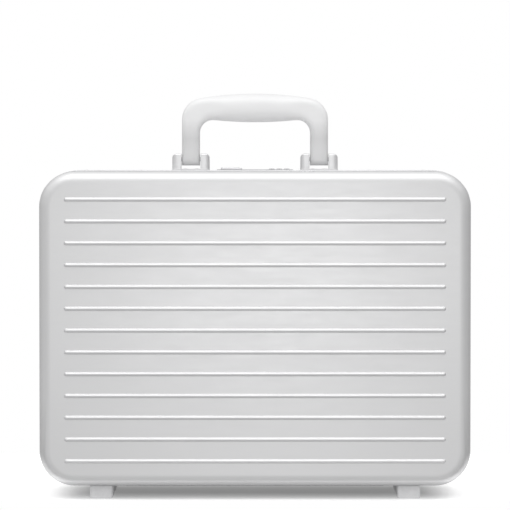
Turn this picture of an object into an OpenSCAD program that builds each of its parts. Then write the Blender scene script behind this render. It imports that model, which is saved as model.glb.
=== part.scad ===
// Aluminium attache case: two pressed shells with ribs, hinged along the bottom,
// a folding handle on brackets, a three-dial slide lock, four feet and a lined inside.
// Millimetres. X runs across the case, -Y is the lid side, +Z is up.
// The origin is on the floor, under the middle of the parting plane.

/* [Body] */
// Width of the case over its frame
body_w = 430; // [400:1:450]
// Height of the case over its frame, without feet and handle
body_h = 314; // [300:1:340]
// Depth of one half, from the parting plane to its flat face
half_depth = 67.5; // [64:0.5:75]
// Corner radius of the front outline
corner_r = 36; // [32:1:42]
// Radius between a face and its side walls
face_fillet = 11; // [10:0.5:12]
// Thickness of the pressed shells
shell_t = 1.2; // [1:0.1:1.3]

/* [Ribs] */
// Number of pressed ribs on a face
rib_count = 13; // [7:1:13]
// Length of a rib from tip to tip
rib_len = 377.6; // [300:0.1:380]
// Outside radius of a rib
rib_r = 3; // [2.5:0.1:3.4]
// Distance from the top edge down to the first rib
rib_top_gap = 28.6; // [28:0.1:40]
// Distance from the bottom edge up to the last rib
rib_bottom_gap = 26.2; // [24:0.1:40]

/* [Feet] */
// Height of the feet below the frame
foot_h = 12; // [12:0.5:16]
// Width of a foot across the case
foot_w = 22.5; // [18:0.5:26]
// Length of a foot along the depth of the case
foot_l = 45; // [40:1:45]
// Distance of a foot from the middle of the case
foot_x = 153; // [150:1:165]

/* [Handle] */
// Half of the handle's width over its legs
handle_half_w = 73.8; // [73.6:0.1:74.2]
// Height of the handle's crown above the top edge
handle_rise = 77.2; // [76:0.1:84]
// Width of one leg
leg_w = 18.2; // [18:0.1:18.4]
// Thickness of the grip from front to back
grip_t = 22; // [18:0.5:22]

/* [Lock] */
// Radius of a number dial
dial_r = 6.3; // [5.8:0.1:6.4]
// Width of a number dial
dial_w = 5.7; // [5:0.1:5.8]
// Distance between two dials
dial_pitch = 7.55; // [7.5:0.05:7.6]
// Distance of the first dial from the middle of the case
dial_first_x = 17; // [17:0.1:17.4]
// Travel of the lock's slide
slide_travel = 6; // [5:0.5:6]

/* [Lid stays] */
// Distance of a stay's pivot from the parting plane
stay_y = 50; // [50:0.1:50.4]
// Height of a stay's pivot above the hinge axis
stay_rise = 75; // [74:0.5:76]
// How far the lid opens, in degrees
lid_open = 90; // [80:1:90]

/* [Hidden] */
$fn = 64;
slack = 0.05;                       // running clearance on a radius
fit = 0.02;                         // clearance on a radius of parts that stay put
body_mid = foot_h + body_h / 2;     // height of the middle of the case
body_top = foot_h + body_h;         // height of the frame's top edge
corner_x = body_w / 2 - corner_r;   // corner centres, measured from the middle
corner_z = body_h / 2 - corner_r;

// Frame section. u runs inwards from the outline, v runs away from the parting plane.
shell_u = 1;                        // outside of the shell's side wall
lip_t = 0.95;                       // lip over the shell
lip_v = 9;
web_u = 4;                          // web along the parting plane
web_v = 2;
leg_u = 2.25;                       // leg inside the shell
leg_t = 1.5;
leg_v = 14;
part_gap = 0.25;                    // half of the gap between the two frames
shell_v = 2.1;                      // where the shell's wall starts
tray_gap = 0.2;                     // play between shell and lining
lining_t = 2;
lining_notch = 20;                  // notches in the lining for the lock and the brackets
seal_u = [1.25, 2.75];
seal_v = [0.1, 1.25];

rivet_r = 1.2;
rivet_v = 5.5;
rivet_head_r = 2.2;
rivet_head_t = 0.6;
rivet_side_z = [-95, 0, 95];
rivet_top_x = [-170, -115, 115, 170];
hole_l = 16;                        // length of what cuts a rivet's hole, half on each side

rib_pitch = (body_h - rib_top_gap - rib_bottom_gap) / (rib_count - 1);
rib_axis_v = half_depth - shell_t;

// Hinge along the bottom edge
hinge_z = foot_h - 2.6;
knuckle_r = 2.5;
hinge_pin_r = 1.25;
hinge_half_l = 130;
knuckle_count = 13;
knuckle_l = 2 * hinge_half_l / knuckle_count;
knuckle_gap = 0.15;
leaf_t = 1;
leaf_y = [2.7, 10];
leaf_tab_y = 0.4;
hinge_screw_x = [-110, -55, 0, 55, 110];
hinge_screw_r = 1;
hinge_screw_head_t = 0.8;
hinge_screw_tip = 1;                // how far a screw stands out inside the frame

// Feet and their screws
foot_y = 12;
foot_corner_r = 2.5;
foot_screw_y = [24, 45];
screw_r = 1.55;
screw_head_r = 3.1;
screw_head_z = [2.8, 5];
nut_r = 3.2;
nut_t = 2.6;
nut_gap = 0.1;
screw_end = 0.8;                    // what a screw shows beyond its nut
foot_screw_top = foot_h + 8;        // top of what cuts a foot screw's hole
head_play = 0.3;                    // play around a sunk screw head

// Handle and brackets
handle_y = 10.5;
pivot_z = body_top + 11;
leg_end_r = 6.3;
pivot_r = 2;
crown_r = 340;
shoulder_r = 22;
sag_r = 400;
arch_r = 13;
grip_h = 28.8;
leg_swell = [1.4, 22];              // a leg's extra thickness and how high above the pivot
crown_z = body_top + handle_rise;
arch_x = handle_half_w - leg_w;
arch_z = crown_z - grip_h;
arch_cx = arch_x - arch_r;          // centres of the opening's upper corners
arch_cz = arch_z + sag_r - sqrt(pow(sag_r + arch_r, 2) - pow(arch_cx, 2));
ear_gap = 0.6;
ear_w = 9.2;
ear_r = 5.7;
ear_corner_r = 3.5;
pin_sunk = 0.3;                     // how deep a pin's end sits in its ear
backing_inset = 3;
plate_t = 1.2;
bracket_y = [2.5, 20];
bracket_rivet_y = [6, 16.5];
bracket_rivet_dx = 6;
bracket_x = (arch_x + handle_half_w) / 2;
bracket_half_w = leg_w / 2 + ear_gap + ear_w;

// Lock
lock_half_w = 38.5;
lock_y = [1.5, 20.5];
lock_t = 0.7;
housing_half_w = 37.5;
housing_y = [4, 19];
housing_z = [body_top - 17, body_top - 1.1];
housing_t = 1.1;
housing_gap = 0.3;                  // play between the housing and the hole for it
dial_y = 11.5;
dial_z = body_top + 1.6 - dial_r;
dial_shaft_r = 1.5;
dial_slot = dial_w + 0.5;
dial_slot_half_l = 5.7;
stem_play = [0.5, 0.3];             // play along and across the slide's slot
web_gap = 3.4;                      // from the first dial to the web beside it
web_x = dial_first_x - dial_w / 2 - web_gap;
slider_x = [-34.5, -13.1];
slider_w = 9;
slider_t = [1.3, 2];                // thickness of the slide and of its raised part
slider_step = [2.5, 0.6];           // what the raised part stands back along and across
stem_x = [-27, -20.5];
stem_w = 4;
bar_z = [body_top - 14.5, body_top - 12.5];
bar_x = [-33, 22];
bar_dy = [-4.5, 2];
hook_x = [-30, 3];
hook_t = 1.6;
hook_l = 7;
hook_y = -9;
hook_foot_t = 2;
hook_h = 4;
hook_play = 0.3;
keeper_dx = [8, 14];
keeper_y = [3, 6];
keeper_tab_l = 6;
keeper_tab_t = 1.5;

// Lid stays
stay_half_t = 0.6;
stay_x_base = 201.4;
stay_x_lid = 202.8;
stay_half_w = 4;
stay_pin_r = 2;
stay_boss_r = 6;
stay_head_r = 3.6;
stay_head_t = 1;
stay_side_gap = 0.2;                // play beside an arm
stud_play = [0.5, 0.6];             // play at the slot's ends, lid shut and lid open
stay_closed = 2 * stay_y;
stay_reach = sqrt(stay_y * stay_y + stay_rise * stay_rise);
stay_opened = 2 * stay_reach * sin(atan(stay_y / stay_rise) + lid_open / 2);
stud_at = 88;
stud_r = 1.5;
stud_head_r = 3;
stay_z = hinge_z + stay_rise;
wall_in = body_w / 2 - shell_u - shell_t - slack;

// Organiser in the lid
folio_w = 330;
folio_z = [60, 262];
flat_gap = 0.2;                     // between the organiser and what lies on it
card_x = [-150, -40];
card_t = 3;
card_z = [110, 240];
pen_x = [70, 90, 110];
pen_half_w = 8;
pen_rise = 10;
pen_z = [170, 200];
folio_v = [54, half_depth - shell_t - tray_gap - lining_t - 0.2];

// ---- helpers ----------------------------------------------------------------

// Turns (x, z, v) into the case: side -1 is the lid half, side 1 is the base half.
module half(side) {
    if (side > 0) mirror([0, 1, 0]) rotate([90, 0, 0]) children();
    else rotate([90, 0, 0]) children();
}

// Turns a drawing in (y, z) into a plate across X, from x0 to x1.
module across(x0, x1) {
    translate([x0, 0, 0]) rotate([90, 0, 90]) linear_extrude(x1 - x0) children();
}

// A round bar along X.
module bar_x(x0, x1, y, z, r) {
    translate([x0, y, z]) rotate([0, 90, 0]) cylinder(h = x1 - x0, r = r);
}

// A block between two corners.
module block(x, y, z) {
    translate([x[0], y[0], z[0]]) cube([x[1] - x[0], y[1] - y[0], z[1] - z[0]]);
}

// The rounded outline of the case, moved inwards.
module outline(inset) {
    r = corner_r - inset;
    square([2 * corner_x, 2 * (corner_z + r)], center = true);
    square([2 * (corner_x + r), 2 * corner_z], center = true);
    for (sx = [-1, 1], sz = [-1, 1]) translate([sx * corner_x, sz * corner_z]) circle(r = r);
}

// A ring of the outline, from u0 to u1 and from v0 to v1.
module ring(u, v) {
    translate([0, 0, v[0]]) linear_extrude(v[1] - v[0]) difference() {
        outline(u[0]);
        outline(u[1]);
    }
}

module quarter_ring(r, t) {
    intersection() {
        difference() {
            circle(r = r);
            circle(r = r - t);
        }
        square(r + 1);
    }
}

// The rounded band between the side walls and the face.
module fillet_band(inset, fillet, t) {
    reach = corner_r - inset - fillet;
    for (k = [0:3]) {
        run = k % 2 == 0 ? 2 * corner_x : 2 * corner_z;
        cx = (k == 0 || k == 3) ? corner_x : -corner_x;
        cz = k < 2 ? corner_z : -corner_z;
        translate([cx, cz, 0]) rotate([0, 0, 90 * k]) {
            rotate_extrude(angle = 90) translate([reach, 0]) quarter_ring(fillet, t);
            translate([-run, 0, 0]) rotate([90, 0, 90]) linear_extrude(run)
                translate([reach, 0]) quarter_ring(fillet, t);
        }
    }
}

// An open tray: side walls, rounded band and flat face.
module tray(inset, v, fillet, t) {
    ring([inset, inset + t], [v[0], v[1] - fillet]);
    translate([0, 0, v[1] - fillet]) fillet_band(inset, fillet, t);
    translate([0, 0, v[1] - t]) linear_extrude(t) outline(inset + fillet);
}

function rib_z(i) = body_h / 2 - rib_top_gap - i * rib_pitch;

// One rib as a bar with round ends.
module rib_bar(r) {
    half_l = rib_len / 2 - rib_r;
    rotate([0, 90, 0]) rotate_extrude() intersection() {
        union() {
            translate([0, -half_l]) circle(r = r);
            translate([0, half_l]) circle(r = r);
            translate([-r, -half_l]) square([2 * r, 2 * half_l]);
        }
        translate([0, -rib_len]) square([2 * r, 2 * rib_len]);
    }
}

module ribs(r) {
    for (i = [0:rib_count - 1]) translate([0, rib_z(i), rib_axis_v]) rib_bar(r);
}

// Places a fastener around the frame, its axis pointing outwards from the outline.
module around_frame() {
    for (s = [-1, 1], z = rivet_side_z)
        translate([s * body_w / 2, z, rivet_v]) rotate([0, s * 90, 0]) children();
    for (x = rivet_top_x) translate([x, body_h / 2, rivet_v]) rotate([-90, 0, 0]) children();
}

module foot_screws_at(side) {
    for (s = [-1, 1], y = foot_screw_y) translate([s * foot_x, side * y, 0]) children();
}

module hinge_screws_at(side) {
    for (x = hinge_screw_x) translate([x, side * rivet_v, foot_h]) children();
}

module bracket_rivets_at() {
    for (s = [-1, 1], dx = [-bracket_rivet_dx, bracket_rivet_dx], y = bracket_rivet_y)
        translate([s * bracket_x + dx, y, body_top]) children();
}

// ---- shells, frames, linings --------------------------------------------------

module pressed_shell() {
    difference() {
        union() {
            tray(shell_u, [shell_v, half_depth], face_fillet, shell_t);
            intersection() {
                ribs(rib_r);
                translate([-body_w / 2, -body_h / 2, half_depth - shell_t / 2])
                    cube([body_w, body_h, rib_r]);
            }
        }
        ribs(rib_r - shell_t);
        around_frame() translate([0, 0, -leg_v]) cylinder(h = 2 * leg_v, r = rivet_r + fit);
    }
}

// The hole for the lock's housing, from y0 to its back.
module housing_hole(y0) {
    block([-housing_half_w - housing_gap, housing_half_w + housing_gap],
        [y0, housing_y[1] + 0.2], [housing_z[0], body_top + 1]);
}

module half_shell(side) {
    difference() {
        translate([0, 0, body_mid]) half(side) pressed_shell();
        foot_screws_at(side) cylinder(h = foot_screw_top, r = screw_r + slack);
        hinge_screws_at(side) cylinder(h = 8, r = hinge_screw_r + fit);
        if (side > 0) {
            bracket_rivets_at() translate([0, 0, -hole_l / 2]) cylinder(h = hole_l, r = rivet_r + fit);
            housing_hole(0);
        }
    }
}

module half_frame(side) {
    difference() {
        translate([0, 0, body_mid]) half(side) difference() {
            union() {
                ring([0, lip_t], [part_gap, lip_v]);
                ring([0, web_u], [part_gap, web_v]);
                ring([leg_u, leg_u + leg_t], [part_gap, leg_v]);
            }
            around_frame() translate([0, 0, -leg_v]) cylinder(h = 2 * leg_v, r = rivet_r + fit);
            if (side > 0) ring([seal_u[0] - slack, seal_u[1] + slack], [0, seal_v[1] + slack]);
        }
        hinge_screws_at(side) translate([0, 0, -1]) cylinder(h = 8, r = hinge_screw_r + fit);
        if (side > 0) {
            bracket_rivets_at() translate([0, 0, -hole_l / 2]) cylinder(h = hole_l, r = rivet_r + fit);
            housing_hole(housing_y[0] - 0.2);
        }
    }
}

module frame_rivets(side) {
    translate([0, 0, body_mid]) half(side) around_frame() {
        translate([0, 0, -leg_u - leg_t]) cylinder(h = leg_u + leg_t, r = rivet_r);
        translate([0, 0, -leg_u - leg_t - rivet_head_t]) cylinder(h = rivet_head_t, r = rivet_head_r);
    }
}

module half_lining(side) {
    inset = shell_u + shell_t + tray_gap;
    difference() {
        translate([0, 0, body_mid]) half(side)
            tray(inset, [leg_v + tray_gap, rib_axis_v - tray_gap],
                face_fillet - shell_t - tray_gap, lining_t);
        foot_screws_at(side) cylinder(h = foot_screw_top, r = nut_r + 1);
        for (s = [-1, 1])
            side_bar(s, stay_x_lid, body_w / 2, side * stay_y, stay_z, stay_boss_r + 0.5);
        if (side > 0) {
            block([-lock_half_w - 1, lock_half_w + 1], [0, lock_y[1] + 0.5],
                [body_top - lining_notch, body_top]);
            for (s = [-1, 1])
                block([s * bracket_x - bracket_half_w, s * bracket_x + bracket_half_w],
                    [0, bracket_y[1] + 1], [body_top - lining_notch, body_top]);
        }
    }
}

module base_shell() { color("silver") half_shell(1); }
module lid_shell() { color("silver") half_shell(-1); }
module base_frame() { color("gainsboro") half_frame(1); }
module lid_frame() { color("gainsboro") half_frame(-1); }
module base_frame_rivets() { color("darkgray") frame_rivets(1); }
module lid_frame_rivets() { color("darkgray") frame_rivets(-1); }
module base_lining() { color("dimgray") half_lining(1); }
module lid_lining() { color("dimgray") half_lining(-1); }
module frame_seal() { color("black") translate([0, 0, body_mid]) half(1) ring(seal_u, seal_v); }

// ---- feet -----------------------------------------------------------------------

// One foot: a block with rounded corners, standing on the floor, with two sunk screw holes.
module foot(sx, side) {
    r = foot_corner_r;
    y0 = side > 0 ? foot_y : -foot_y - foot_l;
    difference() {
        translate([sx * foot_x - foot_w / 2, y0, 0]) linear_extrude(foot_h + shell_u) {
            translate([r, 0]) square([foot_w - 2 * r, foot_l]);
            translate([0, r]) square([foot_w, foot_l - 2 * r]);
            for (x = [r, foot_w - r], y = [r, foot_l - r]) translate([x, y]) circle(r = r);
        }
        foot_screws_at(side) {
            translate([0, 0, -1]) cylinder(h = screw_head_z[1] + 1, r = screw_head_r + head_play);
            cylinder(h = foot_screw_top, r = screw_r + slack);
        }
    }
}

// A screw from below and the nut on its end inside the shell.
module foot_screws(side) {
    nut_z = foot_h + shell_u + shell_t + nut_gap;
    foot_screws_at(side) {
        translate([0, 0, screw_head_z[0]])
            cylinder(h = screw_head_z[1] - screw_head_z[0], r = screw_head_r);
        translate([0, 0, screw_head_z[1]])
            cylinder(h = nut_z + nut_t + screw_end - screw_head_z[1], r = screw_r);
        translate([0, 0, nut_z]) difference() {
            cylinder(h = nut_t, r = nut_r, $fn = 6);
            translate([0, 0, -1]) cylinder(h = nut_t + 2, r = screw_r + fit);
        }
    }
}

module base_foot_left() { color("gray") foot(-1, 1); }
module base_foot_right() { color("gray") foot(1, 1); }
module lid_foot_left() { color("gray") foot(-1, -1); }
module lid_foot_right() { color("gray") foot(1, -1); }
module base_foot_screws() { color("darkgray") foot_screws(1); }
module lid_foot_screws() { color("darkgray") foot_screws(-1); }

// ---- hinge ----------------------------------------------------------------------

// A leaf with every second knuckle, first is 0 for the base and 1 for the lid.
module hinge_leaf(side, first) {
    difference() {
        union() {
            block([-hinge_half_l, hinge_half_l],
                side > 0 ? leaf_y : [-leaf_y[1], -leaf_y[0]], [foot_h - leaf_t, foot_h]);
            for (i = [first:2:knuckle_count - 1]) {
                x0 = -hinge_half_l + i * knuckle_l;
                x = [x0 + knuckle_gap, x0 + knuckle_l - knuckle_gap];
                bar_x(x[0], x[1], 0, hinge_z, knuckle_r);
                block(x, side > 0 ? [leaf_tab_y, leaf_y[0]] : [-leaf_y[0], -leaf_tab_y],
                    [foot_h - leaf_t, foot_h]);
            }
        }
        bar_x(-hinge_half_l - 1, hinge_half_l + 1, 0, hinge_z, hinge_pin_r + slack);
        hinge_screws_at(side) translate([0, 0, -3]) cylinder(h = 6, r = hinge_screw_r + fit);
    }
}

module hinge_screws(side) {
    hinge_screws_at(side) {
        translate([0, 0, -leaf_t])
            cylinder(h = leaf_t + leg_u + leg_t + hinge_screw_tip, r = hinge_screw_r);
        translate([0, 0, -leaf_t - hinge_screw_head_t])
            cylinder(h = hinge_screw_head_t, r = 2 * hinge_screw_r);
    }
}

module hinge_base_leaf() { color("silver") hinge_leaf(1, 0); }
module hinge_lid_leaf() { color("silver") hinge_leaf(-1, 1); }
module hinge_pin() { color("dimgray") bar_x(-hinge_half_l, hinge_half_l, 0, hinge_z, hinge_pin_r); }
module hinge_base_screws() { color("darkgray") hinge_screws(1); }
module hinge_lid_screws() { color("darkgray") hinge_screws(-1); }

// ---- handle and its brackets ------------------------------------------------------

// Front outline of the handle in (x, z).
module handle_outline() {
    shoulder_x = handle_half_w - shoulder_r;
    tangent_x = shoulder_x * crown_r / (crown_r - shoulder_r);
    shoulder_z = crown_z - crown_r + sqrt(pow(crown_r - shoulder_r, 2) - pow(shoulder_x, 2));
    difference() {
        union() {
            intersection() {
                translate([0, crown_z - crown_r]) circle(r = crown_r);
                translate([-tangent_x, shoulder_z]) square([2 * tangent_x, 3 * shoulder_r]);
            }
            for (s = [-1, 1]) translate([s * shoulder_x, shoulder_z]) circle(r = shoulder_r);
            translate([-handle_half_w, pivot_z - leg_end_r])
                square([2 * handle_half_w, shoulder_z - pivot_z + leg_end_r]);
        }
        difference() {
            union() {
                sag_x = arch_cx * sag_r / (sag_r + arch_r);
                low = pivot_z - 2 * leg_end_r;
                translate([-sag_x, low]) square([2 * sag_x, arch_z + arch_r - low]);
                for (s = [-1, 1]) translate([s * arch_cx, arch_cz]) circle(r = arch_r);
                translate([-arch_x, low]) square([2 * arch_x, arch_cz - low]);
            }
            translate([0, arch_z + sag_r]) circle(r = sag_r);
        }
    }
}

// Side outline of the handle in (y, z): slim legs that swell into the grip.
module handle_side() {
    translate([0, pivot_z]) circle(r = leg_end_r);
    translate([0, crown_z - grip_t / 2]) circle(r = grip_t / 2);
    polygon([
        [-leg_end_r, pivot_z], [leg_end_r, pivot_z],
        [leg_end_r + leg_swell[0], pivot_z + leg_swell[1]],
        [grip_t / 2, arch_z], [grip_t / 2, crown_z - grip_t / 2],
        [-grip_t / 2, crown_z - grip_t / 2], [-grip_t / 2, arch_z],
        [-leg_end_r - leg_swell[0], pivot_z + leg_swell[1]]
    ]);
}

module handle_grip() {
    color("whitesmoke") difference() {
        intersection() {
            translate([0, handle_y + grip_t, 0]) rotate([90, 0, 0])
                linear_extrude(2 * grip_t) handle_outline();
            across(-handle_half_w - 1, handle_half_w + 1) translate([handle_y, 0]) handle_side();
        }
        bar_x(-handle_half_w - 1, handle_half_w + 1, handle_y, pivot_z, pivot_r + slack);
    }
}

// A bracket: a stepped plate with two ears.
module handle_bracket(s) {
    x0 = s * bracket_x - bracket_half_w;
    difference() {
        union() {
            block([x0, x0 + 2 * bracket_half_w], bracket_y, [body_top, body_top + plate_t]);
            block([x0, x0 + 2 * bracket_half_w], [lip_v + slack, bracket_y[1]],
                [body_top - shell_u, body_top + 0.1]);
            for (x = [x0, x0 + 2 * bracket_half_w - ear_w]) across(x, x + ear_w) {
                translate([handle_y, pivot_z]) circle(r = ear_r);
                translate([handle_y - ear_r, body_top]) square([2 * ear_r, pivot_z - body_top]);
            }
        }
        bar_x(x0 - 1, x0 + 2 * bracket_half_w + 1, handle_y, pivot_z, pivot_r + fit);
        bracket_rivets_at() translate([0, 0, -hole_l / 2]) cylinder(h = hole_l, r = rivet_r + fit);
        for (e = [-1, 1]) ear_corner(s * bracket_x + e * bracket_half_w, e);
    }
}

// What rounds off an ear's outer top corner.
module ear_corner(x, e) {
    top = pivot_z + ear_r;
    c = ear_corner_r;
    translate([x, handle_y + 2 * ear_r, top]) rotate([90, 0, 0]) linear_extrude(4 * ear_r)
        difference() {
            translate([e > 0 ? -c : -1, -c]) square([c + 1, c + 1]);
            translate([-e * c, -c]) circle(r = c);
        }
}

module handle_pin(s) {
    half_l = bracket_half_w - pin_sunk;
    bar_x(s * bracket_x - half_l, s * bracket_x + half_l, handle_y, pivot_z, pivot_r);
}

module handle_bracket_left() { color("gainsboro") handle_bracket(-1); }
module handle_bracket_right() { color("gainsboro") handle_bracket(1); }
module handle_pin_left() { color("dimgray") handle_pin(-1); }
module handle_pin_right() { color("dimgray") handle_pin(1); }

module bracket_rivets() {
    inner = leg_u + leg_t;
    color("darkgray") bracket_rivets_at() {
        translate([0, 0, -inner]) cylinder(h = inner + plate_t, r = rivet_r);
        translate([0, 0, plate_t]) cylinder(h = rivet_head_t, r = rivet_head_r);
        translate([0, 0, -inner - rivet_head_t]) cylinder(h = rivet_head_t, r = rivet_head_r);
    }
}

module bracket_backing_plates() {
    z = body_top - shell_u - shell_t;
    half_l = bracket_half_w - backing_inset;
    color("silver") difference() {
        for (s = [-1, 1])
            block([s * bracket_x - half_l, s * bracket_x + half_l],
                [leg_v + 0.1, bracket_y[1]], [body_top - leg_u - leg_t, z]);
        bracket_rivets_at() translate([0, 0, -hole_l / 2]) cylinder(h = hole_l, r = rivet_r + fit);
    }
}

// ---- lock -----------------------------------------------------------------------

module lock_plate() {
    color("darkgray") difference() {
        union() {
            block([-lock_half_w, lock_half_w], lock_y, [body_top, body_top + lock_t]);
            block([-lock_half_w, lock_half_w], [lip_v + slack, lock_y[1]],
                [body_top - shell_u, body_top + 0.1]);
        }
        block([stem_x[0] - stem_play[0], stem_x[1] + slide_travel + stem_play[0]],
            [dial_y - stem_w / 2 - stem_play[1], dial_y + stem_w / 2 + stem_play[1]],
            [body_top - 2, body_top + 2]);
        for (i = [0:2]) {
            x = dial_first_x + i * dial_pitch;
            block([x - dial_slot / 2, x + dial_slot / 2],
                [dial_y - dial_slot_half_l, dial_y + dial_slot_half_l], [body_top - 2, body_top + 2]);
        }
    }
}

module lock_housing() {
    t = housing_t;
    y_in = [housing_y[0] + t, housing_y[1] - t];
    color("dimgray") difference() {
        union() {
            difference() {
                block([-housing_half_w, housing_half_w], housing_y, housing_z);
                block([-housing_half_w + t, housing_half_w - t], y_in, [housing_z[0] + t, body_top]);
            }
            block([web_x, web_x + t], [housing_y[0], housing_y[1]], [bar_z[1] + 1, housing_z[1]]);
        }
        bar_x(web_x - 1, housing_half_w + 1, dial_y, dial_z, dial_shaft_r + fit);
        for (x = hook_x) block([x - hook_play, x + hook_t + slide_travel + hook_play],
            [0, housing_y[0] + t + 0.1], [bar_z[0] - hook_play, bar_z[0] + hook_h + hook_play]);
    }
}

module dial_shaft() {
    color("silver") bar_x(web_x - 0.5, housing_half_w - 0.1, dial_y, dial_z, dial_shaft_r);
}

// A number dial with slightly broken edges.
module dial(i) {
    edge = 0.5;
    x = dial_first_x + (i - 1) * dial_pitch;
    translate([x - dial_w / 2, dial_y, dial_z]) rotate([0, 90, 0]) rotate_extrude() polygon([
        [dial_shaft_r + slack, 0], [dial_r - edge, 0], [dial_r, edge],
        [dial_r, dial_w - edge], [dial_r - edge, dial_w], [dial_shaft_r + slack, dial_w]
    ]);
}

module dial_1() { color("lightgray") dial(1); }
module dial_2() { color("lightgray") dial(2); }
module dial_3() { color("lightgray") dial(3); }

// The thumb slide on top and its stem.
module lock_slider() {
    z = body_top + lock_t + 0.1;
    color("silver") union() {
        block(slider_x, [dial_y - slider_w / 2, dial_y + slider_w / 2], [z, z + slider_t[0]]);
        block([slider_x[0], slider_x[1] - slider_step[0]],
            [dial_y - slider_w / 2 + slider_step[1], dial_y + slider_w / 2 - slider_step[1]],
            [z + 1, z + slider_t[1]]);
        block(stem_x, [dial_y - stem_w / 2, dial_y + stem_w / 2], [bar_z[1], z + 1]);
    }
}

// The bar inside, with the two hooks that reach into the lid.
module latch_bar() {
    color("darkgray") union() {
        block(bar_x, [dial_y + bar_dy[0], dial_y + bar_dy[1]], bar_z);
        for (x = hook_x) {
            block([x, x + hook_t], [hook_y, dial_y - 4], [bar_z[0], bar_z[0] + hook_h]);
            block([x, x + hook_l], [hook_y, hook_y + hook_foot_t], [bar_z[0], bar_z[0] + hook_h]);
        }
    }
}

// The keepers that the hooks slide behind, fixed under the lid's frame.
module lock_keepers() {
    z = body_top - leg_u - leg_t;
    color("silver") for (x = hook_x) {
        block([x + keeper_dx[0], x + keeper_dx[1]], [-keeper_y[1], -keeper_y[0]], [bar_z[0], z]);
        block([x + keeper_dx[0], x + keeper_dx[1] + keeper_tab_l], [-leg_v + 0.5, -keeper_y[0]],
            [z - keeper_tab_t, z]);
    }
}

// ---- lid stays --------------------------------------------------------------------

function x_span(s, x0, x1) = s > 0 ? [x0, x1] : [-x1, -x0];

module side_bar(s, x0, x1, y, z, r) {
    x = x_span(s, x0, x1);
    bar_x(x[0], x[1], y, z, r);
}

// A pivot on a wall: a boss, a pin and its head. x0 is the boss's inner end.
module stay_pivot(s, y, x_arm) {
    inner = x_arm - stay_half_t;
    outer = x_arm + stay_half_t;
    side_bar(s, outer + stay_side_gap, wall_in, y, stay_z, stay_boss_r);
    side_bar(s, inner - 0.3, outer + 0.3, y, stay_z, stay_pin_r);
    side_bar(s, inner - stay_side_gap - stay_head_t, inner - stay_side_gap, y, stay_z, stay_head_r);
}

// An arm in (y, z), from its pivot at y towards the other side of the case.
module stay_arm_outline(y, dir, tip) {
    l = tip - stay_half_w;
    difference() {
        union() {
            translate([y, stay_z]) circle(r = stay_half_w);
            translate([y + dir * l, stay_z]) circle(r = stay_half_w);
            translate([min(y, y + dir * l), stay_z - stay_half_w]) square([l, 2 * stay_half_w]);
        }
        translate([y, stay_z]) circle(r = stay_pin_r + slack);
        children();
    }
}

module stay_base_arm(s) {
    x = x_span(s, stay_x_base - stay_half_t, stay_x_base + stay_half_t);
    near = stay_closed - stud_at - stud_play[0];
    far = stay_opened - stud_at + stud_play[1];
    w = stud_r + stay_side_gap;
    across(x[0], x[1]) stay_arm_outline(stay_y, -1, far + stay_half_w) {
        translate([stay_y - near, stay_z]) circle(r = w);
        translate([stay_y - far, stay_z]) circle(r = w);
        translate([stay_y - far, stay_z - w]) square([far - near, 2 * w]);
    }
}

module stay_lid_arm(s) {
    x = x_span(s, stay_x_lid - stay_half_t, stay_x_lid + stay_half_t);
    across(x[0], x[1]) stay_arm_outline(-stay_y, 1, stud_at + stay_half_w)
        translate([-stay_y + stud_at, stay_z]) circle(r = stud_r + fit);
}

module stay_stud(s) {
    y = -stay_y + stud_at;
    side_bar(s, stay_x_base - stay_half_t - 0.5, stay_x_lid + stay_half_t, y, stay_z, stud_r);
    side_bar(s, stay_x_base - stay_half_t - 1, stay_x_base - stay_half_t - 0.2, y, stay_z, stud_head_r);
}

module stay_base_pivot_left() { color("silver") stay_pivot(-1, stay_y, stay_x_base); }
module stay_base_pivot_right() { color("silver") stay_pivot(1, stay_y, stay_x_base); }
module stay_lid_pivot_left() { color("silver") stay_pivot(-1, -stay_y, stay_x_lid); }
module stay_lid_pivot_right() { color("silver") stay_pivot(1, -stay_y, stay_x_lid); }
module stay_base_arm_left() { color("darkgray") stay_base_arm(-1); }
module stay_base_arm_right() { color("darkgray") stay_base_arm(1); }
module stay_lid_arm_left() { color("darkgray") stay_lid_arm(-1); }
module stay_lid_arm_right() { color("darkgray") stay_lid_arm(1); }
module stay_stud_left() { color("silver") stay_stud(-1); }
module stay_stud_right() { color("silver") stay_stud(1); }

// ---- organiser in the lid -----------------------------------------------------------

module lid_folio() {
    color("dimgray") block([-folio_w / 2, folio_w / 2], [-folio_v[1], -folio_v[0]], folio_z);
}

module card_pockets() {
    y = -folio_v[0] + flat_gap;
    color("dimgray") block(card_x, [y, y + card_t], card_z);
}

module pen_loops() {
    color("black") for (x = pen_x)
        block([x - pen_half_w, x + pen_half_w], [-folio_v[0] + flat_gap, -folio_v[0] + pen_rise], pen_z);
}

base_shell();
base_frame();
base_frame_rivets();
frame_seal();
base_lining();
base_foot_left();
base_foot_right();
base_foot_screws();
hinge_base_leaf();
hinge_pin();
hinge_base_screws();
handle_bracket_left();
handle_bracket_right();
handle_pin_left();
handle_pin_right();
bracket_rivets();
bracket_backing_plates();
lock_plate();
lock_housing();
dial_shaft();
stay_base_pivot_left();
stay_base_pivot_right();
lid_shell();
lid_frame();
lid_frame_rivets();
lid_lining();
lid_foot_left();
lid_foot_right();
lid_foot_screws();
hinge_lid_leaf();
hinge_lid_screws();
lock_keepers();
stay_lid_pivot_left();
stay_lid_pivot_right();
lid_folio();
card_pockets();
pen_loops();
lock_slider();
latch_bar();
dial_1();
dial_2();
dial_3();
handle_grip();
stay_base_arm_left();
stay_base_arm_right();
stay_lid_arm_left();
stay_lid_arm_right();
stay_stud_left();
stay_stud_right();
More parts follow.
